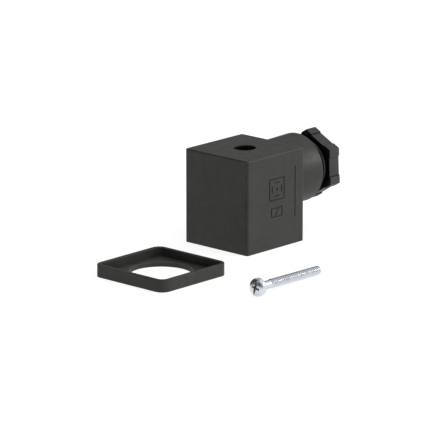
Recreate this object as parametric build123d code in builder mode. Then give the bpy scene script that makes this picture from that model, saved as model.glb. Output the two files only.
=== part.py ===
"""Square four-pole cable socket (EN 175301-803 form A) for a solenoid valve coil.

The socket stands on its mating face. Its flat seal and its central fixing screw lie loose beside it.
Origin: centre of the fixing screw hole on the mating face. +Z points up, out of the screw hole,
and +X points the way the cable leaves. All sizes are in millimetres.
"""
from build123d import *
import math
import os

os.makedirs("parts", exist_ok=True)

# Housing: a square moulded cap, open at the bottom
BODY_W = 28.0
BODY_H = 32.0
WALL = 1.75
ROOF = 2.4
CORNER_R = 0.9
TOP_EDGE_R = 0.5
CAVITY_W = BODY_W - 2 * WALL
CAVITY_TOP = BODY_H - ROOF

# Screw tower, which hangs from the roof and takes the fixing screw
TOWER_R = 4.8
TOWER_END_Z = 15.2
HEAD_RECESS_R = 3.65
HEAD_SEAT_Z = 24.0
RECESS_CHAMFER = 0.25
SCREW_HOLE_R = 1.7

# Cable neck: a short cone that grows outwards a little, bored for the gland thread
GLAND_Z = 20.6
NECK_END_X = 26.4
NECK_ROOT_X = 12.8
NECK_R_ROOT = 11.36
NECK_R_END = 11.7
NECK_RIM = 0.35
NECK_MOUTH_CHAMFER = 0.4
NECK_BORE_R = 9.35
SHOULDER_X = 14.3
CABLE_HOLE_R = 6.5
GLAND_AXIS = Axis((0, 0, GLAND_Z), (1, 0, 0))

# Gland nut: a hollow screw with a hexagonal head, turned out of the neck by a few turns
PITCH_PG11 = 1.411
GLAND_THREAD_R = 9.3
GLAND_ROOT_R = 8.62
HEX_X0 = 31.3
HEX_X1 = 36.1
HEX_CORNER_R = 12.0
HEX_TURN = -2.5
HEX_RECESS_W = 6.6
HEX_RECESS_DEPTH = 0.32
HEX_EDGE_R = 0.1
NUT_NOSE_X = 22.35
NUT_NOSE_CHAMFER = 0.3
NUT_THREAD_LEAD = 0.8
NUT_THREAD_RELIEF = 0.6
NUT_HUB_BORE_R = 7.0
NUT_HUB_BORE_END_X = 25.0
NUT_BORE_R = 6.2
NUT_MOUTH_R = 0.8

# Pressure washer: turns inside the nut's nose and pushes on the grommet
WASHER_X0 = 21.3
WASHER_X1 = 22.3
WASHER_R = 9.1
WASHER_HUB_R = 6.95
WASHER_HUB_X = 24.6
WASHER_BORE_R = 5.2

# Grommet: a rubber ring that seals round the cable
GROMMET_X1 = 19.2
GROMMET_R = 9.1
GROMMET_BORE_R = 3.4
GROMMET_CHAMFER = 0.7
GROMMET_MOUTH_CHAMFER = 0.4
TEAR_RING_RADII = (4.9, 6.4)
TEAR_RING_W = 0.4
TEAR_RING_DEPTH = 0.45

# Contact carrier: the insulating insert, with a terminal on each side
CARRIER_W = 24.2
CARRIER_CORNER_R = 1.0
SEAT_Z = 12.4
POST_TOP_Z = 17.6
CHANNEL_W = 8.4
COLUMN_R = 4.9
COLUMN_TOP_Z = 15.0
BLADE_RADIUS = 9.0
POCKET_FLOOR_Z = 1.2
POCKET_W = 7.8
POCKET_T = 3.0
BLADE_SLOT_W = 6.9
BLADE_SLOT_T = 1.5
BLADE_LEAD_IN = 0.3
SCREW_END_CLEARANCE = 0.4

# Contacts: a receptacle for a 6.3 x 0.8 blade, a riser and a terminal plate with a tapped hole
RECEPTACLE_W = 7.4
RECEPTACLE_T = 2.6
RECEPTACLE_Z0 = 1.3
RECEPTACLE_Z1 = 8.9
RECEPTACLE_SLOT_W = 6.5
RECEPTACLE_SLOT_T = 1.1
PLATE_T = 1.0
PLATE_R0 = 5.6
PLATE_R1 = 11.2
PLATE_W = 6.6
TERMINAL_RADIUS = 7.9
TERMINAL_HOLE_R = 1.55
RECEPTACLE_MOUTH_CHAMFER = 0.25
CONTACT_CORNER_R = 0.5

# Wire clamps and terminal screws
CLAMP_T = 0.8
CLAMP_W = 8.0
CLAMP_LEN = 5.2
CLAMP_EAR_T = 0.55
CLAMP_EAR_DROP = 0.8
CLAMP_HOLE_R = 1.7
CLAMP_CORNER_R = 0.5
CLAMP_EDGE_R = 0.2
M3_R = 1.5
M3_ROOT_R = 1.22
M3_TIP_R = 1.0
M3_PITCH = 0.5
TERMINAL_HEAD_R = 2.6
TERMINAL_HEAD_H = 2.0
TERMINAL_HEAD_CHAMFER = 0.35
TERMINAL_SHANK = 4.8
TERMINAL_TIP = 0.4
SCREW_GAP = 0.1
TERMINAL_SLOT_W = 0.7
TERMINAL_SLOT_DEPTH = 0.9
SLOT_STEP = 35

# Fixing screw, M3 x 32 with a pan head, lying on the ground beside the socket
SCREW_LENGTH = 32.0
SCREW_THREAD = 26.5
SCREW_SHANK_R = 1.33
SCREW_RUN_OUT = 0.4
SCREW_TIP_CHAMFER = 0.35
SCREW_HEAD_R = 3.0
SCREW_HEAD_H = 2.3
SCREW_HEAD_SIDE_H = 1.1
SCREW_HEAD_DOME_R = 5.4
SCREW_HEADING = 5.2
SCREW_TIP_X = -14.43
SCREW_TIP_Y = -45.6
SLOT_W = 0.8
SLOT_DEPTH = 1.0
CROSS_W = 0.75
CROSS_SPAN = 3.4
CROSS_DEPTH = 1.5
CROSS_TAPER = 12
RECESS_TURN = -14

# Seal ring under the head of the fixing screw
SEAL_MID_R = 2.65
SEAL_SECTION_R = 0.6

# Gasket: a square tray with a round hole, lying in front of the socket
GASKET_X = -49.74
GASKET_Y = -8.7
GASKET_W = 31.0
GASKET_H = 4.15
GASKET_WALL = 1.35
GASKET_FLOOR = 1.25
GASKET_CORNER_R = 3.2
GASKET_HOLE_R = 10.3
GASKET_LIP_W = 0.7
GASKET_LIP_H = 0.3
GASKET_RIM_R = 0.3

# Shallow marks moulded into the housing's sides
GROOVE_X = 9.45
GROOVE_Z0 = 9.2
GROOVE_Z1 = 26.5
GROOVE_W = 0.4
GROOVE_DEPTH = 0.3
MARK_DEPTH = 0.18
MARK_LINE = 0.45
MARK_X = 0.4
SOCKET_MARK_Z = 20.2
SOCKET_MARK_W = 7.6
SOCKET_MARK_SLOT = 2.2
SOCKET_MARK_SLOT_R = 2.3
SOCKET_MARK_HOLE_R = 0.55
COIL_MARK_Z = 12.4
COIL_MARK_W = 5.6
COIL_MARK_H = 3.4
COIL_MARK_LEAN = -28

# Share of a thread's pitch at which its crest starts and ends
CREST_START = 0.38
CREST_END = 0.62

TERMINAL_NAMES = ["1", "2", "3", "earth"]
TERMINAL_ANGLES = [90, -90, 180, 0]


def save(part, name):
    """Label a finished piece and write it as its own STEP file."""
    part.label = name
    export_step(part, f"parts/{name}.step")


def thread_outline(start, end, crest_r, root_r, pitch):
    """Points of a ringed thread from start to end along an axis, as (along, radius) pairs."""
    ridges = max(1, round((end - start) / pitch))
    step = (end - start) / ridges
    points = [(start, root_r)]
    for ridge in range(ridges):
        base = start + ridge * step
        points += [
            (base + CREST_START * step, crest_r),
            (base + CREST_END * step, crest_r),
            (base + step, root_r),
        ]
    return points


def side_plane(angle):
    """Upright plane through the vertical axis, its local x pointing outwards at the given angle."""
    turn = math.radians(angle)
    outward = (math.cos(turn), math.sin(turn), 0)
    return Plane(origin=(0, 0, 0), x_dir=outward, z_dir=(math.sin(turn), -math.cos(turn), 0))


def level_plane(angle, height):
    """Level plane at a height, its local x pointing outwards at the given angle."""
    turn = math.radians(angle)
    return Plane(origin=(0, 0, height), x_dir=(math.cos(turn), math.sin(turn), 0), z_dir=(0, 0, 1))


# ---------------------------------------------------------------- housing
FRONT_FACE = Plane(origin=(0, -BODY_W / 2, 0), x_dir=(1, 0, 0), z_dir=(0, -1, 0))
REAR_FACE = Plane(origin=(0, BODY_W / 2, 0), x_dir=(-1, 0, 0), z_dir=(0, 1, 0))

with BuildPart() as housing:
    with BuildSketch():
        RectangleRounded(BODY_W, BODY_W, CORNER_R)
    extrude(amount=BODY_H)
    fillet(housing.faces().sort_by(Axis.Z)[-1].edges(), radius=TOP_EDGE_R)

    # the neck's outside, with a rounded rim
    with BuildSketch(Plane.XZ):
        with BuildLine():
            Polyline(
                (NECK_ROOT_X, GLAND_Z),
                (NECK_ROOT_X, GLAND_Z + NECK_R_ROOT),
                (NECK_END_X, GLAND_Z + NECK_R_END),
                (NECK_END_X, GLAND_Z),
                close=True,
            )
        make_face()
    revolve(axis=GLAND_AXIS)
    fillet(housing.faces().sort_by(Axis.X)[-1].edges(), radius=NECK_RIM)

    # the hollow inside, open at the bottom
    with BuildSketch():
        RectangleRounded(CAVITY_W, CAVITY_W, CORNER_R)
    extrude(amount=CAVITY_TOP, mode=Mode.SUBTRACT)

    # the screw tower, with its head recess and clearance hole
    with BuildSketch(Plane.XY.offset(TOWER_END_Z)):
        Circle(TOWER_R)
    extrude(amount=CAVITY_TOP - TOWER_END_Z)
    with Locations((0, 0, BODY_H)):
        CounterBoreHole(SCREW_HOLE_R, HEAD_RECESS_R, BODY_H - HEAD_SEAT_Z)
    recess_rim = housing.edges().filter_by(GeomType.CIRCLE).filter_by_position(Axis.Z, BODY_H, BODY_H)
    chamfer(recess_rim, length=RECESS_CHAMFER)

    # the neck's bore down to a shoulder, and the cable hole through the wall
    with BuildSketch(Plane.YZ.offset(SHOULDER_X)):
        with Locations((0, GLAND_Z)):
            Circle(NECK_BORE_R)
    extrude(amount=NECK_END_X - SHOULDER_X, mode=Mode.SUBTRACT)
    with BuildSketch(Plane.YZ.offset(SHOULDER_X)):
        with Locations((0, GLAND_Z)):
            Circle(CABLE_HOLE_R)
    extrude(amount=CAVITY_W / 2 - SHOULDER_X - WALL, mode=Mode.SUBTRACT)
    neck_mouth = housing.faces().sort_by(Axis.X)[-1].inner_wires().edges()
    chamfer(neck_mouth, length=NECK_MOUTH_CHAMFER)

    # one upright groove on each side face
    for face, groove_x in ((FRONT_FACE, GROOVE_X), (REAR_FACE, -GROOVE_X)):
        with BuildSketch(face):
            with Locations((groove_x, (GROOVE_Z0 + GROOVE_Z1) / 2)):
                Rectangle(GROOVE_W, GROOVE_Z1 - GROOVE_Z0)
        extrude(amount=-GROOVE_DEPTH, mode=Mode.SUBTRACT)

    # plain pictograms: the socket's four slots in a square, and the sign for a coil
    with BuildSketch(FRONT_FACE):
        with Locations((MARK_X, SOCKET_MARK_Z)):
            Rectangle(SOCKET_MARK_W, SOCKET_MARK_W)
            Rectangle(SOCKET_MARK_W - 2 * MARK_LINE, SOCKET_MARK_W - 2 * MARK_LINE, mode=Mode.SUBTRACT)
            Circle(SOCKET_MARK_HOLE_R)
            with PolarLocations(SOCKET_MARK_SLOT_R, 4):
                Rectangle(MARK_LINE, SOCKET_MARK_SLOT)
    extrude(amount=-MARK_DEPTH, mode=Mode.SUBTRACT)
    with BuildSketch(FRONT_FACE):
        with Locations((MARK_X, COIL_MARK_Z)):
            Rectangle(COIL_MARK_W, COIL_MARK_H)
            Rectangle(COIL_MARK_W - 2 * MARK_LINE, COIL_MARK_H - 2 * MARK_LINE, mode=Mode.SUBTRACT)
            Rectangle(MARK_LINE, COIL_MARK_H, rotation=COIL_MARK_LEAN)
    extrude(amount=-MARK_DEPTH, mode=Mode.SUBTRACT)
save(housing.part, "housing")

# ---------------------------------------------------------------- contact carrier
POST_OFFSET = (CARRIER_W / 2 + CHANNEL_W / 2) / 2
POST_SIDE = CARRIER_W / 2 - CHANNEL_W / 2
POST_WALL = 1.3
POST_HOLLOW = POST_SIDE - 2 * POST_WALL
POST_HOLLOW_R = 0.6
POST_FLOOR_Z = 13.6
PIP_Z = SEAT_Z - 4.6
PIP_R = 0.5
PIP_GAP = 1.6
PIP_DEPTH = 0.25
EARTH_BARS = (3.2, 2.2, 1.2)
EARTH_BAR_T = 0.4
EARTH_BAR_GAP = 0.9
EARTH_TOP_Z = SEAT_Z - 4

with BuildPart() as contact_carrier:
    with BuildSketch():
        RectangleRounded(CARRIER_W, CARRIER_W, CARRIER_CORNER_R)
    extrude(amount=POST_TOP_Z)

    # two crossing channels leave a hollow post in each corner
    with BuildSketch(Plane.XY.offset(SEAT_Z)):
        Rectangle(CARRIER_W, CHANNEL_W)
        Rectangle(CHANNEL_W, CARRIER_W)
    extrude(amount=POST_TOP_Z - SEAT_Z, mode=Mode.SUBTRACT)
    with BuildSketch(Plane.XY.offset(POST_FLOOR_Z)):
        with GridLocations(2 * POST_OFFSET, 2 * POST_OFFSET, 2, 2):
            RectangleRounded(POST_HOLLOW, POST_HOLLOW, POST_HOLLOW_R)
    extrude(amount=POST_TOP_Z - POST_FLOOR_Z, mode=Mode.SUBTRACT)

    # the middle column, with the fixing screw hole
    with BuildSketch(Plane.XY.offset(SEAT_Z)):
        Circle(COLUMN_R)
    extrude(amount=COLUMN_TOP_Z - SEAT_Z)
    with Locations((0, 0, COLUMN_TOP_Z)):
        Hole(SCREW_HOLE_R)

    # contact pockets, open upwards, with blade slots below and room for the screw ends
    with BuildSketch(Plane.XY.offset(POCKET_FLOOR_Z)):
        with PolarLocations(BLADE_RADIUS, 4):
            Rectangle(POCKET_T, POCKET_W)
    extrude(amount=SEAT_Z - POCKET_FLOOR_Z, mode=Mode.SUBTRACT)
    with BuildSketch():
        with PolarLocations(BLADE_RADIUS, 4):
            Rectangle(BLADE_SLOT_T, BLADE_SLOT_W)
    extrude(amount=POCKET_FLOOR_Z, mode=Mode.SUBTRACT)
    with BuildSketch(Plane.XY.offset(RECEPTACLE_Z1)):
        with PolarLocations(TERMINAL_RADIUS, 4):
            Circle(M3_R + SCREW_END_CLEARANCE)
    extrude(amount=SEAT_Z - RECEPTACLE_Z1, mode=Mode.SUBTRACT)

    # lead-in chamfers round the blade slots
    slot_edges = contact_carrier.faces().sort_by(Axis.Z)[0].inner_wires().edges().filter_by(GeomType.LINE)
    chamfer(slot_edges, length=BLADE_LEAD_IN)

    # pips that number three of the terminals, and three bars for the earth
    for count, angle in zip((1, 2, 3), TERMINAL_ANGLES):
        with BuildSketch(side_plane(angle + 90).offset(-CARRIER_W / 2)):
            with Locations((0, PIP_Z)):
                with GridLocations(PIP_GAP, 1, count, 1):
                    Circle(PIP_R)
        extrude(amount=PIP_DEPTH, mode=Mode.SUBTRACT)
    with BuildSketch(side_plane(90).offset(-CARRIER_W / 2)):
        for row, width in enumerate(EARTH_BARS):
            with Locations((0, EARTH_TOP_Z - EARTH_BAR_GAP * row)):
                Rectangle(width, EARTH_BAR_T)
    extrude(amount=PIP_DEPTH, mode=Mode.SUBTRACT)
save(contact_carrier.part, "contact_carrier")

# ---------------------------------------------------------------- contacts
RISER_OUT_R = BLADE_RADIUS + RECEPTACLE_T / 2
RISER_IN_R = BLADE_RADIUS + RECEPTACLE_SLOT_T / 2
RISER_W = 6.0
PLATE_MID_R = (PLATE_R0 + PLATE_R1) / 2

for terminal, angle in zip(TERMINAL_NAMES, TERMINAL_ANGLES):
    with BuildPart() as contact:
        # the receptacle, a flat sleeve with a flared mouth
        with BuildSketch(level_plane(angle, RECEPTACLE_Z0)):
            with Locations((BLADE_RADIUS, 0)):
                RectangleRounded(RECEPTACLE_T, RECEPTACLE_W, CONTACT_CORNER_R)
        extrude(amount=RECEPTACLE_Z1 - RECEPTACLE_Z0)
        with BuildSketch(level_plane(angle, RECEPTACLE_Z0)):
            with Locations((BLADE_RADIUS, 0)):
                Rectangle(RECEPTACLE_SLOT_T, RECEPTACLE_SLOT_W)
        extrude(amount=RECEPTACLE_Z1 - RECEPTACLE_Z0, mode=Mode.SUBTRACT)
        mouth = contact.faces().sort_by(Axis.Z)[0].inner_wires().edges()
        chamfer(mouth, length=RECEPTACLE_MOUTH_CHAMFER)

        # the riser and the terminal plate
        with BuildSketch(level_plane(angle, RECEPTACLE_Z1)):
            with Locations(((RISER_IN_R + RISER_OUT_R) / 2, 0)):
                Rectangle(RISER_OUT_R - RISER_IN_R, RISER_W)
        extrude(amount=SEAT_Z - RECEPTACLE_Z1)
        with BuildSketch(level_plane(angle, SEAT_Z)):
            with Locations((PLATE_MID_R, 0)):
                RectangleRounded(PLATE_R1 - PLATE_R0, PLATE_W, CONTACT_CORNER_R)
            with Locations((TERMINAL_RADIUS, 0)):
                Circle(TERMINAL_HOLE_R, mode=Mode.SUBTRACT)
        extrude(amount=PLATE_T)
    save(contact.part, f"contact_{terminal}")

# ---------------------------------------------------------------- wire clamps and terminal screws
CLAMP_Z0 = SEAT_Z + PLATE_T
CLAMP_Z1 = CLAMP_Z0 + CLAMP_T

for number, angle in enumerate(TERMINAL_ANGLES, start=1):
    with BuildPart() as wire_clamp:
        with BuildSketch(level_plane(angle, CLAMP_Z0)):
            with Locations((TERMINAL_RADIUS, 0)):
                RectangleRounded(CLAMP_LEN, CLAMP_W, CLAMP_CORNER_R)
                Circle(CLAMP_HOLE_R, mode=Mode.SUBTRACT)
        extrude(amount=CLAMP_T)
        with BuildSketch(level_plane(angle, CLAMP_Z0)):
            with Locations((TERMINAL_RADIUS, 0)):
                with GridLocations(1, CLAMP_W - CLAMP_EAR_T, 1, 2):
                    Rectangle(CLAMP_LEN - 2 * CLAMP_CORNER_R, CLAMP_EAR_T)
        extrude(amount=-CLAMP_EAR_DROP)
        upper_edges = wire_clamp.faces().sort_by(Axis.Z)[-1].outer_wire().edges()
        fillet(upper_edges, radius=CLAMP_EDGE_R)
    save(wire_clamp.part, f"wire_clamp_{number}")

    screw_plane = side_plane(angle)
    screw_axis = Axis(screw_plane.from_local_coords((TERMINAL_RADIUS, 0, 0)), (0, 0, 1))
    shank_end_z = CLAMP_Z1 - TERMINAL_SHANK
    head_top_z = CLAMP_Z1 + TERMINAL_HEAD_H
    thread_start_z = shank_end_z + TERMINAL_TIP
    thread = thread_outline(thread_start_z, CLAMP_Z0 - SCREW_GAP, M3_R, M3_ROOT_R, M3_PITCH)
    with BuildPart() as terminal_screw:
        with BuildSketch(screw_plane):
            with BuildLine():
                Polyline(
                    (TERMINAL_RADIUS, shank_end_z),
                    (TERMINAL_RADIUS + M3_TIP_R, shank_end_z),
                    *[(TERMINAL_RADIUS + radius, height) for height, radius in thread],
                    (TERMINAL_RADIUS + M3_ROOT_R, CLAMP_Z1),
                    (TERMINAL_RADIUS + TERMINAL_HEAD_R, CLAMP_Z1),
                    (TERMINAL_RADIUS + TERMINAL_HEAD_R, head_top_z - TERMINAL_HEAD_CHAMFER),
                    (TERMINAL_RADIUS + TERMINAL_HEAD_R - TERMINAL_HEAD_CHAMFER, head_top_z),
                    (TERMINAL_RADIUS, head_top_z),
                    close=True,
                )
            make_face()
        revolve(axis=screw_axis)
        with BuildSketch(level_plane(angle, head_top_z)):
            with Locations((TERMINAL_RADIUS, 0)):
                Rectangle(TERMINAL_SLOT_W, 2 * TERMINAL_HEAD_R, rotation=SLOT_STEP * number)
        extrude(amount=-TERMINAL_SLOT_DEPTH, mode=Mode.SUBTRACT)
    save(terminal_screw.part, f"terminal_screw_{number}")

# ---------------------------------------------------------------- seal ring under the screw head
with BuildPart() as screw_seal_ring:
    with BuildSketch(Plane.XZ):
        with Locations((SEAL_MID_R, HEAD_SEAT_Z + SEAL_SECTION_R)):
            Circle(SEAL_SECTION_R)
    revolve(axis=Axis.Z)
save(screw_seal_ring.part, "screw_seal_ring")

# ---------------------------------------------------------------- cable grommet
with BuildPart() as cable_grommet:
    with BuildSketch(Plane.XZ):
        with BuildLine():
            Polyline(
                (SHOULDER_X, GLAND_Z + GROMMET_BORE_R + GROMMET_MOUTH_CHAMFER),
                (SHOULDER_X, GLAND_Z + GROMMET_R - GROMMET_CHAMFER),
                (SHOULDER_X + GROMMET_CHAMFER, GLAND_Z + GROMMET_R),
                (GROMMET_X1 - GROMMET_CHAMFER, GLAND_Z + GROMMET_R),
                (GROMMET_X1, GLAND_Z + GROMMET_R - GROMMET_CHAMFER),
                (GROMMET_X1, GLAND_Z + GROMMET_BORE_R + GROMMET_MOUTH_CHAMFER),
                (GROMMET_X1 - GROMMET_MOUTH_CHAMFER, GLAND_Z + GROMMET_BORE_R),
                (SHOULDER_X + GROMMET_MOUTH_CHAMFER, GLAND_Z + GROMMET_BORE_R),
                close=True,
            )
        make_face()
        # tear rings for thicker cables, on the outer face
        with Locations(*[(GROMMET_X1, GLAND_Z + radius) for radius in TEAR_RING_RADII]):
            Rectangle(2 * TEAR_RING_DEPTH, TEAR_RING_W, mode=Mode.SUBTRACT)
    revolve(axis=GLAND_AXIS)
save(cable_grommet.part, "cable_grommet")

# ---------------------------------------------------------------- pressure washer
with BuildPart() as pressure_washer:
    with BuildSketch(Plane.XZ):
        with BuildLine():
            Polyline(
                (WASHER_X0, GLAND_Z + WASHER_BORE_R),
                (WASHER_X0, GLAND_Z + WASHER_R),
                (WASHER_X1, GLAND_Z + WASHER_R),
                (WASHER_X1, GLAND_Z + WASHER_HUB_R),
                (WASHER_HUB_X, GLAND_Z + WASHER_HUB_R),
                (WASHER_HUB_X, GLAND_Z + WASHER_BORE_R),
                close=True,
            )
        make_face()
    revolve(axis=GLAND_AXIS)
save(pressure_washer.part, "pressure_washer")

# ---------------------------------------------------------------- gland nut
HEX_PLANE = Plane(origin=(HEX_X0, 0, GLAND_Z), x_dir=(0, 1, 0), z_dir=(1, 0, 0))
HEX_APOTHEM = HEX_CORNER_R * math.cos(math.radians(30))
thread_x0 = NUT_NOSE_X + NUT_THREAD_LEAD
thread_x1 = HEX_X0 - NUT_THREAD_RELIEF
gland_thread = thread_outline(thread_x0, thread_x1, GLAND_THREAD_R, GLAND_ROOT_R, PITCH_PG11)

with BuildPart() as gland_nut:
    # hexagonal head, each flat recessed in its middle
    with BuildSketch(HEX_PLANE):
        RegularPolygon(HEX_CORNER_R, 6, rotation=90 + HEX_TURN)
        with PolarLocations(HEX_APOTHEM, 6, start_angle=HEX_TURN):
            Rectangle(2 * HEX_RECESS_DEPTH, HEX_RECESS_W, mode=Mode.SUBTRACT)
    extrude(amount=HEX_X1 - HEX_X0)
    fillet(gland_nut.edges(), radius=HEX_EDGE_R)

    # threaded shank
    with BuildSketch(Plane.XZ):
        with BuildLine():
            Polyline(
                (NUT_NOSE_X, GLAND_Z),
                (NUT_NOSE_X, GLAND_Z + GLAND_ROOT_R - NUT_NOSE_CHAMFER),
                (NUT_NOSE_X + NUT_NOSE_CHAMFER, GLAND_Z + GLAND_ROOT_R),
                *[(along, GLAND_Z + radius) for along, radius in gland_thread],
                (HEX_X1, GLAND_Z + GLAND_ROOT_R),
                (HEX_X1, GLAND_Z),
                close=True,
            )
        make_face()
    revolve(axis=GLAND_AXIS)

    # bore for the cable, wider at the nose where the washer's hub sits
    with BuildSketch(Plane.XZ):
        with BuildLine():
            Polyline(
                (NUT_NOSE_X, GLAND_Z),
                (NUT_NOSE_X, GLAND_Z + NUT_HUB_BORE_R),
                (NUT_HUB_BORE_END_X, GLAND_Z + NUT_HUB_BORE_R),
                (NUT_HUB_BORE_END_X, GLAND_Z + NUT_BORE_R),
                (HEX_X1, GLAND_Z + NUT_BORE_R),
                (HEX_X1, GLAND_Z),
                close=True,
            )
        make_face()
    revolve(axis=GLAND_AXIS, mode=Mode.SUBTRACT)
    mouth = gland_nut.faces().sort_by(Axis.X)[-1].inner_wires().edges()
    fillet(mouth, radius=NUT_MOUTH_R)
save(gland_nut.part, "gland_nut")

# ---------------------------------------------------------------- gasket
GASKET_PLANE = Plane(origin=(GASKET_X, GASKET_Y, 0), x_dir=(1, 0, 0), z_dir=(0, 0, 1))

with BuildPart() as gasket:
    with BuildSketch(GASKET_PLANE):
        RectangleRounded(GASKET_W, GASKET_W, GASKET_CORNER_R)
    extrude(amount=GASKET_H)
    with BuildSketch(GASKET_PLANE.offset(GASKET_FLOOR)):
        inner_w = GASKET_W - 2 * GASKET_WALL
        RectangleRounded(inner_w, inner_w, GASKET_CORNER_R - GASKET_WALL)
    extrude(amount=GASKET_H - GASKET_FLOOR, mode=Mode.SUBTRACT)
    with BuildSketch(GASKET_PLANE.offset(GASKET_FLOOR)):
        Circle(GASKET_HOLE_R + GASKET_LIP_W)
    extrude(amount=GASKET_LIP_H)
    with BuildSketch(GASKET_PLANE):
        Circle(GASKET_HOLE_R)
    extrude(amount=GASKET_H, mode=Mode.SUBTRACT)
    fillet(gasket.faces().sort_by(Axis.Z)[-1].edges(), radius=GASKET_RIM_R)
save(gasket.part, "gasket")

# ---------------------------------------------------------------- fixing screw
SCREW_TILT = math.degrees(math.atan((SCREW_HEAD_R - M3_R) / (SCREW_LENGTH - SCREW_TIP_CHAMFER)))
heading = math.radians(SCREW_HEADING)
tilt = math.radians(SCREW_TILT)
screw_dir = Vector(
    math.cos(heading) * math.cos(tilt),
    math.sin(heading) * math.cos(tilt),
    -math.sin(tilt),
)
screw_side = Vector(-math.sin(heading), math.cos(heading), 0)
seat_point = Vector(SCREW_TIP_X, SCREW_TIP_Y, 0) - screw_dir * SCREW_LENGTH
seat_point = Vector(seat_point.X, seat_point.Y, SCREW_HEAD_R * math.cos(tilt))
SCREW_SECTION = Plane(origin=seat_point, x_dir=screw_dir, z_dir=screw_dir.cross(screw_side))
SCREW_FACE = Plane(origin=seat_point, x_dir=screw_side, z_dir=screw_dir * -1)

thread_start = SCREW_LENGTH - SCREW_THREAD
thread_end = SCREW_LENGTH - SCREW_TIP_CHAMFER
screw_thread = thread_outline(thread_start, thread_end, M3_R, M3_ROOT_R, M3_PITCH)

with BuildPart() as fixing_screw:
    with BuildSketch(SCREW_SECTION):
        with BuildLine():
            Polyline(
                (-SCREW_HEAD_SIDE_H, SCREW_HEAD_R),
                (0, SCREW_HEAD_R),
                (0, SCREW_SHANK_R),
                (thread_start - SCREW_RUN_OUT, SCREW_SHANK_R),
                *screw_thread,
                (SCREW_LENGTH, M3_TIP_R),
                (SCREW_LENGTH, 0),
                (-SCREW_HEAD_H, 0),
            )
            RadiusArc((-SCREW_HEAD_H, 0), (-SCREW_HEAD_SIDE_H, SCREW_HEAD_R), SCREW_HEAD_DOME_R)
        make_face()
    revolve(axis=Axis(seat_point, screw_dir))

    # combined slot and cross recess in the head
    with BuildSketch(SCREW_FACE.offset(SCREW_HEAD_H)):
        Rectangle(SLOT_W, 2 * SCREW_HEAD_R, rotation=RECESS_TURN)
    extrude(amount=-SLOT_DEPTH, mode=Mode.SUBTRACT)
    with BuildSketch(SCREW_FACE.offset(SCREW_HEAD_H)):
        Rectangle(CROSS_W, CROSS_SPAN, rotation=RECESS_TURN)
        Rectangle(CROSS_SPAN, CROSS_W, rotation=RECESS_TURN)
    extrude(amount=-CROSS_DEPTH, taper=CROSS_TAPER, mode=Mode.SUBTRACT)
save(fixing_screw.part, "fixing_screw")
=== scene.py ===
"""Looks of a square cable socket for a solenoid valve, with its loose gasket and fixing screw.

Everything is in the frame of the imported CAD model, in metres. Shapes are drawn in millimetres
and scaled by MM when their meshes are made. Angles are in degrees until they are used.
"""

import math

import bpy
from mathutils import Matrix, Vector


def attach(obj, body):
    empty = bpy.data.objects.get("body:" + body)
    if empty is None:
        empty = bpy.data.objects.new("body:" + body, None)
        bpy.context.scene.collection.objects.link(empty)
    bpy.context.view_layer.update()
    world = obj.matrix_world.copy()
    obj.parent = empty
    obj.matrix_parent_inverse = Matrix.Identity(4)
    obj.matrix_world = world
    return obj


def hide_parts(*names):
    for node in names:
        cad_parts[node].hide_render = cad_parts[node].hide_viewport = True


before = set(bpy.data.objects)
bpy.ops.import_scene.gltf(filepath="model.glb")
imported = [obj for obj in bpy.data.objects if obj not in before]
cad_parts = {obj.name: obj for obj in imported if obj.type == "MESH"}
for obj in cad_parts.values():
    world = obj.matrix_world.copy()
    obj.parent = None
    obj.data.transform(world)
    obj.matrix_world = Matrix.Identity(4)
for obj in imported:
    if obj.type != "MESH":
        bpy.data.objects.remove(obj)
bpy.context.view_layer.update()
MM = 0.001

# ---------------------------------------------------------------- camera
VIEW_AZIMUTH = -47.389
VIEW_ELEVATION = 14.963
VIEW_DISTANCE = 1.3723
LENS = 337.5
SENSOR = 36.0
CLIP_NEAR = 0.05
CLIP_FAR = 20.0
AIM_POINT = Vector((-22.85, -11.72, 12.41)) * MM


def direction(azimuth, elevation):
    """Unit vector from the object towards a viewer or a light at that azimuth and elevation."""
    a, e = math.radians(azimuth), math.radians(elevation)
    return Vector((math.sin(a) * math.cos(e), -math.cos(a) * math.cos(e), math.sin(e)))


def aim(obj, place, target):
    """Put a camera or a lamp at a place, facing a target."""
    obj.location = place
    obj.rotation_mode = "QUATERNION"
    obj.rotation_quaternion = (target - place).to_track_quat("-Z", "Y")


def make_camera():
    data = bpy.data.cameras.new("camera")
    data.sensor_width = SENSOR
    data.lens = LENS
    data.clip_start = CLIP_NEAR
    data.clip_end = CLIP_FAR
    camera = bpy.data.objects.new("camera", data)
    aim(camera, AIM_POINT + direction(VIEW_AZIMUTH, VIEW_ELEVATION) * VIEW_DISTANCE, AIM_POINT)
    bpy.context.scene.collection.objects.link(camera)
    bpy.context.scene.camera = camera


# ---------------------------------------------------------------- light and floor
# Level unit vectors to the right, left and back of the object, as seen from VIEW_AZIMUTH.
TO_THE_RIGHT = (0.677, -0.736, 0.0)
TO_THE_LEFT = (-0.677, 0.736, 0.0)
TO_THE_BACK = (0.736, 0.677, 0.0)
UPWARDS = (0.0, 0.0, 1.0)

# Each colour of the sky comes in over a span of the cosine of the angle to its vector.
SKY_LEFT = (0.20, 0.20, 0.18)
SKY_RIGHT = (1.0, 1.0, 1.0)
SKY_RIGHT_SPAN = (-0.35, 0.55)
SKY_BACK = (0.35, 0.35, 0.34)
SKY_BACK_SPAN = (0.68, 0.95)
SKY_TOP = (1.0, 1.0, 1.0)
SKY_TOP_SPAN = (0.4, 0.75)
SKY_FLAG = (0.06, 0.06, 0.05)
SKY_FLAG_SPAN = (0.4, 0.65)

KEY_AZIMUTH = 47
KEY_ELEVATION = 26
KEY_DISTANCE = 1.1
KEY_SIZE = 0.3
KEY_POWER = 4.2
KEY_TARGET = Vector((0, 0, 0.015))

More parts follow.
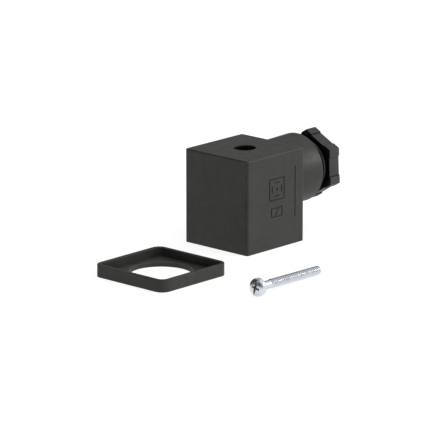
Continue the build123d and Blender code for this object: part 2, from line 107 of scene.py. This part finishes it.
FLOOR_HALF = 3.0
FLOOR_COLOUR = (0.35, 0.35, 0.35)
FLOOR_ROUGHNESS = 0.9
FLOOR_GLOW_COLOUR = (1.0, 1.0, 1.0)
FLOOR_GLOW = 0.8


def make_sky():
    """White tent: bright overhead and to the right, dim low at the back, dark far to the left."""
    world = bpy.data.worlds.new("studio")
    world.use_nodes = True
    tree = world.node_tree
    way = tree.nodes.new("ShaderNodeTexCoord").outputs["Generated"]

    def lean(towards, span, dim, bright):
        """Colour that goes from dim to bright as a direction leans towards a vector."""
        share = tree.nodes.new("ShaderNodeVectorMath")
        share.operation = "DOT_PRODUCT"
        share.inputs[1].default_value = towards
        tree.links.new(way, share.inputs[0])
        part = tree.nodes.new("ShaderNodeMapRange")
        part.interpolation_type = "SMOOTHSTEP"
        part.inputs["From Min"].default_value, part.inputs["From Max"].default_value = span
        tree.links.new(share.outputs["Value"], part.inputs["Value"])
        blend = tree.nodes.new("ShaderNodeMix")
        blend.data_type = "RGBA"
        tree.links.new(part.outputs["Result"], blend.inputs["Factor"])
        for socket, colour in ((blend.inputs["A"], dim), (blend.inputs["B"], bright)):
            if isinstance(colour, tuple):
                socket.default_value = (*colour, 1)
            else:
                tree.links.new(colour, socket)
        return blend.outputs["Result"]

    sides = lean(TO_THE_RIGHT, SKY_RIGHT_SPAN, SKY_LEFT, SKY_RIGHT)
    around = lean(TO_THE_BACK, SKY_BACK_SPAN, sides, SKY_BACK)
    tent = lean(UPWARDS, SKY_TOP_SPAN, around, SKY_TOP)
    whole = lean(TO_THE_LEFT, SKY_FLAG_SPAN, tent, SKY_FLAG)
    tree.links.new(whole, tree.nodes["Background"].inputs["Color"])
    bpy.context.scene.world = world
    bpy.context.scene.view_settings.view_transform = "Standard"


def make_key_light():
    """Small soft box at the right, for the highlights on the neck and the screw."""
    data = bpy.data.lights.new("key_right", "AREA")
    data.shape = "SQUARE"
    data.size = KEY_SIZE
    data.energy = KEY_POWER
    lamp = bpy.data.objects.new("key_right", data)
    aim(lamp, direction(KEY_AZIMUTH, KEY_ELEVATION) * KEY_DISTANCE, KEY_TARGET)
    bpy.context.scene.collection.objects.link(lamp)


def make_floor():
    mesh = bpy.data.meshes.new("floor")
    corners = [(x * FLOOR_HALF, y * FLOOR_HALF, 0) for x, y in ((-1, -1), (1, -1), (1, 1), (-1, 1))]
    mesh.from_pydata(corners, [], [(0, 1, 2, 3)])
    floor = bpy.data.objects.new("floor", mesh)
    bpy.context.scene.collection.objects.link(floor)
    material = bpy.data.materials.new("floor_white")
    material.use_nodes = True
    shader = material.node_tree.nodes["Principled BSDF"]
    shader.inputs["Base Color"].default_value = (*FLOOR_COLOUR, 1)
    shader.inputs["Roughness"].default_value = FLOOR_ROUGHNESS
    shader.inputs["Specular IOR Level"].default_value = 0.0
    shader.inputs["Emission Color"].default_value = (*FLOOR_GLOW_COLOUR, 1)
    shader.inputs["Emission Strength"].default_value = FLOOR_GLOW
    mesh.materials.append(material)


# ---------------------------------------------------------------- shared material nodes
# Most of a noise lies within this span.
NOISE_SPAN = (0.3, 0.7)
OCCLUSION_SAMPLES = 6


class Look:
    """A material's node tree, with short calls for the nodes that the looks share."""

    def __init__(self, name, metallic=0.0):
        self.material = bpy.data.materials.new(name)
        self.material.use_nodes = True
        self.tree = self.material.node_tree
        self.shader = self.tree.nodes["Principled BSDF"]
        self.shader.inputs["Metallic"].default_value = metallic
        self.place = self.tree.nodes.new("ShaderNodeTexCoord").outputs["Object"]

    def link(self, source, target):
        self.tree.links.new(source, target)

    def set(self, source, name):
        self.link(source, self.shader.inputs[name])

    def noise(self, scale, detail=2.0, roughness=0.5):
        """Noise with about scale features to the metre."""
        node = self.tree.nodes.new("ShaderNodeTexNoise")
        node.inputs["Scale"].default_value = scale
        node.inputs["Detail"].default_value = detail
        node.inputs["Roughness"].default_value = roughness
        self.link(self.place, node.inputs["Vector"])
        return node.outputs["Fac"]

    def clouded(self, factor, dark, light):
        """Colour that drifts from dark to light with a noise."""
        node = self.tree.nodes.new("ShaderNodeValToRGB")
        for element, position, colour in zip(node.color_ramp.elements, NOISE_SPAN, (dark, light)):
            element.position = position
            element.color = (*colour, 1)
        self.link(factor, node.inputs["Fac"])
        return node.outputs["Color"]

    def spread(self, factor, lowest, highest, span=NOISE_SPAN):
        """Map a span of a factor onto lowest to highest."""
        node = self.tree.nodes.new("ShaderNodeMapRange")
        node.inputs["From Min"].default_value, node.inputs["From Max"].default_value = span
        node.inputs["To Min"].default_value = lowest
        node.inputs["To Max"].default_value = highest
        self.link(factor, node.inputs["Value"])
        return node.outputs["Result"]

    def occlusion(self, reach, alone, inside=False):
        """Share of the directions that meet nothing within reach metres, on the outside or the inside."""
        node = self.tree.nodes.new("ShaderNodeAmbientOcclusion")
        node.samples = OCCLUSION_SAMPLES
        node.only_local = alone
        node.inside = inside
        node.inputs["Distance"].default_value = reach
        return node.outputs["AO"]

    def openness(self, reach, alone=False):
        """0 in tight corners and bores, 1 in the open, judged on this piece alone or on all pieces."""
        return self.occlusion(reach, alone)

    def edge_flatness(self, reach):
        """0 on sharp outer edges, 1 on flat ground."""
        return self.occlusion(reach, alone=True, inside=True)

    def scaled(self, colour, factor):
        node = self.tree.nodes.new("ShaderNodeVectorMath")
        node.operation = "SCALE"
        self.link(colour, node.inputs[0])
        self.link(factor, node.inputs["Scale"])
        return node.outputs["Vector"]

    def bump(self, height, depth):
        """Add a relief of that depth in metres on top of any relief made before it."""
        node = self.tree.nodes.new("ShaderNodeBump")
        node.inputs["Distance"].default_value = depth
        self.link(height, node.inputs["Height"])
        target = self.shader.inputs["Normal"]
        if target.is_linked:
            self.link(target.links[0].from_socket, node.inputs["Normal"])
        self.link(node.outputs["Normal"], target)


# ---------------------------------------------------------------- dark plastics and rubbers
# Scales are features to the metre. Spans are shares of a noise or of an occlusion.
CLOUD_SCALE = 140
EDGE_REACH = 0.0006
EDGE_SPAN = (0.45, 0.85)
EDGE_LIGHTER = 1.7
SCUFF_SCALE = 900
SCUFF_SPAN = (0.62, 0.7)
SCUFF_LIGHTER = 1.18
# Painted shade: colour and specular factors at the bottom of a recess.
PAINTED_SHADE_FACTOR = 0.05
PAINTED_SHADE_SPECULAR = 0.02
PATCH_SCALE = 420
PATCH_GLOSSIER = 0.05
PATCH_DULLER = 0.06
UNEVEN_COARSER = 9
UNEVEN_DEEPER = 2


def dark_solid(
    name, dark, light, roughness, specular, grain, relief, reach=0.007, shut=0.25, clear=0.8, alone=False
):
    """Moulded plastic or rubber: faint clouds, paler edges and scuffs, a fine grain, duller patches.

    Painted shade darkens its recesses and dims their reflection: nearly black where less than the shut share
    of the view within reach is open, and untouched above the clear share. Other pieces count too, unless it
    is judged alone.
    """
    look = Look(name)
    open_share = look.openness(reach, alone)
    colour = look.clouded(look.noise(CLOUD_SCALE, detail=4, roughness=0.6), dark, light)
    colour = look.scaled(colour, look.spread(look.edge_flatness(EDGE_REACH), EDGE_LIGHTER, 1.0, EDGE_SPAN))
    scuffs = look.noise(SCUFF_SCALE, detail=4, roughness=0.7)
    colour = look.scaled(colour, look.spread(scuffs, 1.0, SCUFF_LIGHTER, SCUFF_SPAN))
    # Painted shade: the colour darkens in recesses and between pieces.
    colour = look.scaled(colour, look.spread(open_share, PAINTED_SHADE_FACTOR, 1.0, (shut, clear)))
    look.set(colour, "Base Color")
    # Painted shade also dims the reflection in recesses.
    look.set(look.spread(open_share, PAINTED_SHADE_SPECULAR, specular, (shut, clear)), "Specular IOR Level")
    patches = look.noise(PATCH_SCALE, detail=3)
    look.set(look.spread(patches, roughness - PATCH_GLOSSIER, roughness + PATCH_DULLER), "Roughness")
    look.bump(look.noise(grain, detail=3, roughness=0.6), relief)
    look.bump(look.noise(grain / UNEVEN_COARSER, detail=2), UNEVEN_DEEPER * relief)
    return look.material


def housing_nylon():
    """Painted shade darkens the grooves of its marks and its screw hole, and the pieces inside it don't
    count.
    """
    return dark_solid(
        "housing_nylon",
        dark=(0.019, 0.019, 0.0162),
        light=(0.025, 0.025, 0.0220),
        roughness=0.5,
        specular=0.32,
        grain=5200,
        relief=0.00001,
        reach=0.012,
        shut=0.3,
        clear=0.9,
        alone=True,
    )


def carrier_nylon():
    return dark_solid(
        "carrier_nylon",
        dark=(0.05, 0.05, 0.05),
        light=(0.065, 0.065, 0.065),
        roughness=0.5,
        specular=0.4,
        grain=5200,
        relief=0.000008,
        reach=0.003,
    )


def nut_nylon():
    """Coarser grain than the housing, and painted shade makes it dark in the gap between the two."""
    return dark_solid(
        "nut_nylon",
        dark=(0.018, 0.018, 0.017),
        light=(0.028, 0.028, 0.027),
        roughness=0.55,
        specular=0.35,
        grain=2600,
        relief=0.00003,
        reach=0.01,
        shut=0.42,
        clear=0.88,
    )


def washer_nylon():
    return dark_solid(
        "washer_nylon",
        dark=(0.06, 0.06, 0.06),
        light=(0.08, 0.08, 0.08),
        roughness=0.45,
        specular=0.4,
        grain=5200,
        relief=0.000006,
        reach=0.003,
    )


def gasket_rubber():
    """Matt. Painted shade dims its corners but never turns them black, because its shut share is below zero.
    """
    return dark_solid(
        "gasket_rubber",
        dark=(0.028, 0.028, 0.0248),
        light=(0.038, 0.038, 0.0336),
        roughness=0.55,
        specular=0.2,
        grain=4200,
        relief=0.00001,
        reach=0.003,
        shut=-0.3,
        clear=0.4,
        alone=True,
    )


def seal_rubber():
    return dark_solid(
        "seal_rubber",
        dark=(0.016, 0.016, 0.016),
        light=(0.024, 0.024, 0.024),
        roughness=0.4,
        specular=0.4,
        grain=5200,
        relief=0.000006,
    )


# ---------------------------------------------------------------- metals
PLATING_CLOUD_SCALE = 650
PLATING_MARK_SCALE = 2600
PLATING_MARK_RELIEF = 0.000004
PLATING_GLOSSIER = 0.06
PLATING_DULLER = 0.08
# Painted shade in the recesses of the metal parts.
METAL_SHADE_REACH = 0.0015
METAL_SHADE_SPAN = (0.2, 0.7)
METAL_SHADE_DARKEST = 0.55


def plated_metal(name, dark, light, roughness):
    """Plated metal, with faint clouds in the plating, fine marks, and painted shade that darkens its
    recesses.
    """
    look = Look(name, metallic=1.0)
    colour = look.clouded(look.noise(PLATING_CLOUD_SCALE, detail=4, roughness=0.6), dark, light)
    # Painted shade: darker in the metal's own recesses.
    painted_shade = look.spread(look.openness(METAL_SHADE_REACH, alone=True), METAL_SHADE_DARKEST, 1.0, METAL_SHADE_SPAN)
    look.set(look.scaled(colour, painted_shade), "Base Color")
    marks = look.noise(PLATING_MARK_SCALE, detail=3)
    look.set(look.spread(marks, roughness - PLATING_GLOSSIER, roughness + PLATING_DULLER), "Roughness")
    look.bump(marks, PLATING_MARK_RELIEF)
    return look.material


def tinned_brass():
    return plated_metal("tinned_brass", dark=(0.62, 0.58, 0.48), light=(0.74, 0.70, 0.60), roughness=0.32)


def clamp_steel():
    return plated_metal("clamp_steel", dark=(0.52, 0.53, 0.54), light=(0.68, 0.69, 0.70), roughness=0.3)


def bright_zinc():
    return plated_metal("bright_zinc", dark=(0.58, 0.62, 0.66), light=(0.68, 0.71, 0.75), roughness=0.25)


def paint_nodes():
    """Give each CAD node that is shown as it is its material."""
    seal = seal_rubber()
    steel = clamp_steel()
    brass = tinned_brass()
    materials = {
        "housing": housing_nylon(),
        "contact_carrier": carrier_nylon(),
        "pressure_washer": washer_nylon(),
        "gasket": gasket_rubber(),
        "cable_grommet": seal,
        "screw_seal_ring": seal,
    }
    for number in range(1, 5):
        materials[f"wire_clamp_{number}"] = steel
        materials[f"terminal_screw_{number}"] = steel
    for terminal in ("1", "2", "3", "earth"):
        materials[f"contact_{terminal}"] = brass
    for node, material in materials.items():
        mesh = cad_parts[node].data
        mesh.materials.clear()
        mesh.materials.append(material)


# ---------------------------------------------------------------- turned and threaded meshes
THREAD_ROWS = 12
THREAD_FLANK = 0.42
THREAD_FADE = 0.5
SHARP_ANGLE = 35


def ring(along, radius, segments):
    """Points of a circle round the local X axis."""
    turns = [2 * math.pi * step / segments for step in range(segments)]
    return [(along, radius * math.cos(turn), radius * math.sin(turn)) for turn in turns]


def thread_rings(start, end, pitch, crest, root, segments):
    """Rings of a right-hand thread along the local X axis, THREAD_ROWS to a pitch.

    It fades out over THREAD_FADE of a pitch at both ends. Each flank takes THREAD_FLANK of a pitch.
    """
    rows = round((end - start) / pitch * THREAD_ROWS)
    fade_length = pitch * THREAD_FADE
    rings = []
    for row in range(rows + 1):
        along = start + (end - start) * row / rows
        fade = min(1, (along - start) / fade_length, (end - along) / fade_length)
        circle = []
        for step in range(segments):
            phase = (along / pitch - step / segments) % 1
            rise = min(1, phase / THREAD_FLANK, (1 - phase) / THREAD_FLANK)
            height = rise * rise * (3 - 2 * rise)
            radius = root + (crest - root) * height * fade
            turn = 2 * math.pi * step / segments
            circle.append((along, radius * math.cos(turn), radius * math.sin(turn)))
        rings.append(circle)
    return rings


def skin(name, rings, closed=False):
    """Mesh that joins rings of points with equal counts; closed joins the last ring to the first."""
    count = len(rings[0])
    vertices = [point for circle in rings for point in circle]
    faces = []
    for index in range(len(rings) if closed else len(rings) - 1):
        here = index * count
        there = (index + 1) % len(rings) * count
        for step in range(count):
            following = (step + 1) % count
            faces.append((here + step, here + following, there + following, there + step))
    if not closed:
        faces.append(tuple(reversed(range(count))))
        faces.append(tuple(range(len(vertices) - count, len(vertices))))
    mesh = bpy.data.meshes.new(name)
    mesh.from_pydata(vertices, [], faces)
    return mesh


def place_mesh(name, mesh, matrix, material):
    """Turn a millimetre mesh in local axes into an object in the CAD frame."""
    mesh.transform(Matrix.Scale(MM, 4) @ matrix)
    mesh.shade_smooth()
    mesh.set_sharp_from_angle(angle=math.radians(SHARP_ANGLE))
    mesh.materials.append(material)
    obj = bpy.data.objects.new(name, mesh)
    bpy.context.scene.collection.objects.link(obj)
    return obj


# ---------------------------------------------------------------- gland nut
GLAND_Z = 20.6
NUT_NOSE_X = 22.35
NUT_NOSE_CHAMFER = 0.3
NUT_THREAD_X = (23.0, 31.0)
NUT_PITCH = 1.411
NUT_THREAD_R = 9.3
NUT_ROOT_R = 8.5
NUT_HUB_BORE_R = 7.0
NUT_HUB_BORE_END_X = 25.0
NUT_BORE_R = 6.2
NUT_MOUTH_R = 0.8
NUT_MOUTH_STEPS = 6
HEX_HALF_ANGLE = 30
HEX_X = (31.3, 36.1)
HEX_CORNER_R = 12.0
HEX_APOTHEM = HEX_CORNER_R * math.cos(math.radians(HEX_HALF_ANGLE))
HEX_TURN = -2.5
HEX_RECESS_DEPTH = 0.34
HEX_RECESS_HALF = 3.3
HEX_RECESS_WALL = 0.06
HEX_EDGE = 0.12
HEX_BOSS_STATIONS = (5.4, 4.7, 4.0, HEX_RECESS_HALF + HEX_RECESS_WALL)
HEX_FLAT_STATIONS = (HEX_RECESS_HALF, 2.2, 1.1)


def hex_ring(along, inset):
    """Outline of the hexagonal head at a station, with each flat recessed in its middle."""
    apothem = HEX_APOTHEM - inset
    corner = apothem * math.tan(math.radians(HEX_HALF_ANGLE))
    flat = apothem - HEX_RECESS_DEPTH
    side = [(-corner, apothem)]
    side += [(-across, apothem) for across in HEX_BOSS_STATIONS]
    side += [(-across, flat) for across in HEX_FLAT_STATIONS]
    side += [(0, flat)]
    side += [(across, flat) for across in reversed(HEX_FLAT_STATIONS)]
    side += [(across, apothem) for across in reversed(HEX_BOSS_STATIONS)]
    points = []
    for number in range(6):
        middle = math.radians(HEX_TURN + 2 * HEX_HALF_ANGLE * number)
        for across, out in side:
            y = out * math.cos(middle) - across * math.sin(middle)
            z = out * math.sin(middle) + across * math.cos(middle)
            points.append((along, y, z))
    return points


def make_gland_nut():
    """Hollow screw with a helical thread and a hexagonal head, as one closed skin."""
    segments = len(hex_ring(0, 0))
    start_turn = Matrix.Rotation(math.radians(HEX_TURN - HEX_HALF_ANGLE), 3, "X")

    def turned(points):
        return [tuple(start_turn @ Vector(point)) for point in points]

    def circle(along, radius):
        return turned(ring(along, radius, segments))

    rings = [
        circle(NUT_NOSE_X, NUT_HUB_BORE_R),
        circle(NUT_NOSE_X, NUT_ROOT_R - NUT_NOSE_CHAMFER),
        circle(NUT_NOSE_X + NUT_NOSE_CHAMFER, NUT_ROOT_R),
    ]
    for thread in thread_rings(*NUT_THREAD_X, NUT_PITCH, NUT_THREAD_R, NUT_ROOT_R, segments):
        rings.append(turned(thread))
    rings += [
        circle(HEX_X[0], NUT_ROOT_R),
        hex_ring(HEX_X[0], HEX_EDGE),
        hex_ring(HEX_X[0] + HEX_EDGE, 0),
        hex_ring(HEX_X[1] - HEX_EDGE, 0),
        hex_ring(HEX_X[1], HEX_EDGE),
    ]
    for step in range(NUT_MOUTH_STEPS + 1):
        angle = math.pi / 2 * step / NUT_MOUTH_STEPS
        along = HEX_X[1] - NUT_MOUTH_R * (1 - math.cos(angle))
        rings.append(circle(along, NUT_BORE_R + NUT_MOUTH_R * (1 - math.sin(angle))))
    rings += [
        circle(NUT_HUB_BORE_END_X, NUT_BORE_R),
        circle(NUT_HUB_BORE_END_X, NUT_HUB_BORE_R),
    ]
    mesh = skin("gland_nut_detail", rings, closed=True)
    nut = place_mesh("gland_nut_detail", mesh, Matrix.Translation((0, 0, GLAND_Z)), nut_nylon())
    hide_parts("gland_nut")
    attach(nut, "gland_nut")


# ---------------------------------------------------------------- fixing screw
SCREW_LENGTH = 32.0
SCREW_THREAD_START = 5.5
SCREW_TIP = 0.4
SCREW_TIP_CHAMFER = 0.2
SCREW_R = 1.5
SCREW_ROOT_R = 1.2
SCREW_PITCH = 0.5
SCREW_SHANK_R = 1.33
SCREW_SHANK_SUNK = 0.5
SCREW_FILLET = 0.2
SCREW_FILLET_EDGE = 0.05
SCREW_RUNOUT = 0.5
SCREW_MARK_STEP = 0.12
SCREW_MARK_DEPTH = 0.035
SCREW_SEGMENTS = 40

SCREW_HEAD_R = 3.0
SCREW_HEAD_SIDE = 1.0
SCREW_HEAD_EDGE = 0.12
SCREW_HEAD_SEGMENTS = 72
SCREW_DOME = 1.3
SCREW_DOME_DEGREES = range(0, 86, 5)
SCREW_SLOT_W = 0.8
SCREW_SLOT_LENGTH = 7.0
SCREW_SLOT_DEPTH = 1.0
SCREW_CROSS_SPAN = 3.5
SCREW_CROSS_W = 0.85
SCREW_CROSS_DEPTH = 1.5
SCREW_CROSS_TAPER = 0.62
SCREW_RECESS_TURN = 14
SCREW_RECESS_BEVEL = 0.06
CUTTER_ABOVE = 0.5
BEVEL_SEGMENTS = 2
BEVEL_ANGLE = 40

# The screw lies on its head's rim and on its thread, this far from its tip.
SCREW_REST_SETBACK = 0.35
SCREW_HEADING = 5.2
SCREW_TIP_PLACE = (-14.43, -45.6)


def screw_matrix():
    """Local X runs down the screw from the seat of its head, as it lies on the floor."""
    tilt = math.atan((SCREW_HEAD_R - SCREW_R) / (SCREW_LENGTH - SCREW_REST_SETBACK))
    heading = math.radians(SCREW_HEADING)
    along = Vector((math.cos(heading) * math.cos(tilt), math.sin(heading) * math.cos(tilt), -math.sin(tilt)))
    side = Vector((-math.sin(heading), math.cos(heading), 0))
    seat = Vector((*SCREW_TIP_PLACE, 0)) - along * SCREW_LENGTH
    seat.z = SCREW_HEAD_R * math.cos(tilt)
    matrix = Matrix((along, side, along.cross(side))).transposed().to_4x4()
    matrix.translation = seat
    return matrix


def prism(name, size_top, size_bottom, top, bottom):
    """Box that tapers along local X from one (y, z) size at top to another at bottom."""
    rings = []
    for (wide, tall), along in ((size_top, top), (size_bottom, bottom)):
        y, z = wide / 2, tall / 2
        rings.append([(along, -y, -z), (along, y, -z), (along, y, z), (along, -y, z)])
    return skin(name, rings)


def cut_mesh(mesh, cutters, bevel):
    """Mesh with cutter meshes taken out of it and its sharp edges broken by a small bevel."""
    obj = bpy.data.objects.new("blank", mesh)
    bpy.context.scene.collection.objects.link(obj)
    helpers = [obj]
    for cutter in cutters:
        helper = bpy.data.objects.new("cutter", cutter)
        bpy.context.scene.collection.objects.link(helper)
        helpers.append(helper)
        cut = obj.modifiers.new("cut", "BOOLEAN")
        cut.operation = "DIFFERENCE"
        cut.solver = "EXACT"
        cut.object = helper
    soften = obj.modifiers.new("soften", "BEVEL")
    soften.width = bevel
    soften.segments = BEVEL_SEGMENTS
    soften.limit_method = "ANGLE"
    soften.angle_limit = math.radians(BEVEL_ANGLE)
    graph = bpy.context.evaluated_depsgraph_get()
    result = bpy.data.meshes.new_from_object(obj.evaluated_get(graph))
    for helper in helpers:
        bpy.data.objects.remove(helper)
    return result


def join_meshes(name, meshes):
    """One mesh with the faces of several."""
    vertices = []
    faces = []
    for mesh in meshes:
        base = len(vertices)
        vertices += [tuple(vertex.co) for vertex in mesh.vertices]
        faces += [tuple(base + index for index in face.vertices) for face in mesh.polygons]
    joined = bpy.data.meshes.new(name)
    joined.from_pydata(vertices, [], faces)
    return joined


def screw_head():
    """Domed head with a slot across it and a tapered cross recess."""
    rings = [
        ring(0, SCREW_HEAD_R - SCREW_HEAD_EDGE, SCREW_HEAD_SEGMENTS),
        ring(-SCREW_HEAD_EDGE, SCREW_HEAD_R, SCREW_HEAD_SEGMENTS),
    ]
    for degrees in SCREW_DOME_DEGREES:
        angle = math.radians(degrees)
        along = -SCREW_HEAD_SIDE - SCREW_DOME * math.sin(angle)
        rings.append(ring(along, SCREW_HEAD_R * math.cos(angle), SCREW_HEAD_SEGMENTS))
    head = skin("head", list(reversed(rings)))
    top = -SCREW_HEAD_SIDE - SCREW_DOME
    above = top - CUTTER_ABOVE
    slot = (SCREW_SLOT_W, SCREW_SLOT_LENGTH)
    wing = (SCREW_CROSS_W, SCREW_CROSS_SPAN)
    wing_end = (SCREW_CROSS_W * SCREW_CROSS_TAPER, SCREW_CROSS_SPAN * SCREW_CROSS_TAPER)
    cutters = [
        prism("slot", slot, slot, above, top + SCREW_SLOT_DEPTH),
        prism("wing", wing, wing_end, above, top + SCREW_CROSS_DEPTH),
        prism("wing", wing[::-1], wing_end[::-1], above, top + SCREW_CROSS_DEPTH),
    ]
    for cutter in cutters:
        cutter.transform(Matrix.Rotation(math.radians(SCREW_RECESS_TURN), 4, "X"))
    return cut_mesh(head, cutters, SCREW_RECESS_BEVEL)


def screw_shank():
    """Shank that starts inside the head, with a fillet, fine rolled rings and a helical thread."""
    stations = [
        (-SCREW_SHANK_SUNK, SCREW_SHANK_R),
        (-SCREW_FILLET_EDGE, SCREW_SHANK_R),
        (0.0, SCREW_SHANK_R + SCREW_FILLET),
    ]
    marks = round((SCREW_THREAD_START - SCREW_RUNOUT - SCREW_FILLET) / SCREW_MARK_STEP)
    for mark in range(marks + 1):
        depth = SCREW_MARK_DEPTH * (mark % 2)
        stations.append((SCREW_FILLET + mark * SCREW_MARK_STEP, SCREW_SHANK_R - depth))
    rings = [ring(along, radius, SCREW_SEGMENTS) for along, radius in stations]
    rings += thread_rings(
        SCREW_THREAD_START, SCREW_LENGTH - SCREW_TIP, SCREW_PITCH, SCREW_R, SCREW_ROOT_R, SCREW_SEGMENTS
    )
    rings.append(ring(SCREW_LENGTH, SCREW_ROOT_R - SCREW_TIP_CHAMFER, SCREW_SEGMENTS))
    return skin("shank", rings)


def make_fixing_screw():
    mesh = join_meshes("fixing_screw_detail", [screw_head(), screw_shank()])
    screw = place_mesh("fixing_screw_detail", mesh, screw_matrix(), bright_zinc())
    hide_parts("fixing_screw")
    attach(screw, "fixing_screw")


make_camera()
make_sky()
make_key_light()
make_floor()
paint_nodes()
make_gland_nut()
make_fixing_screw()
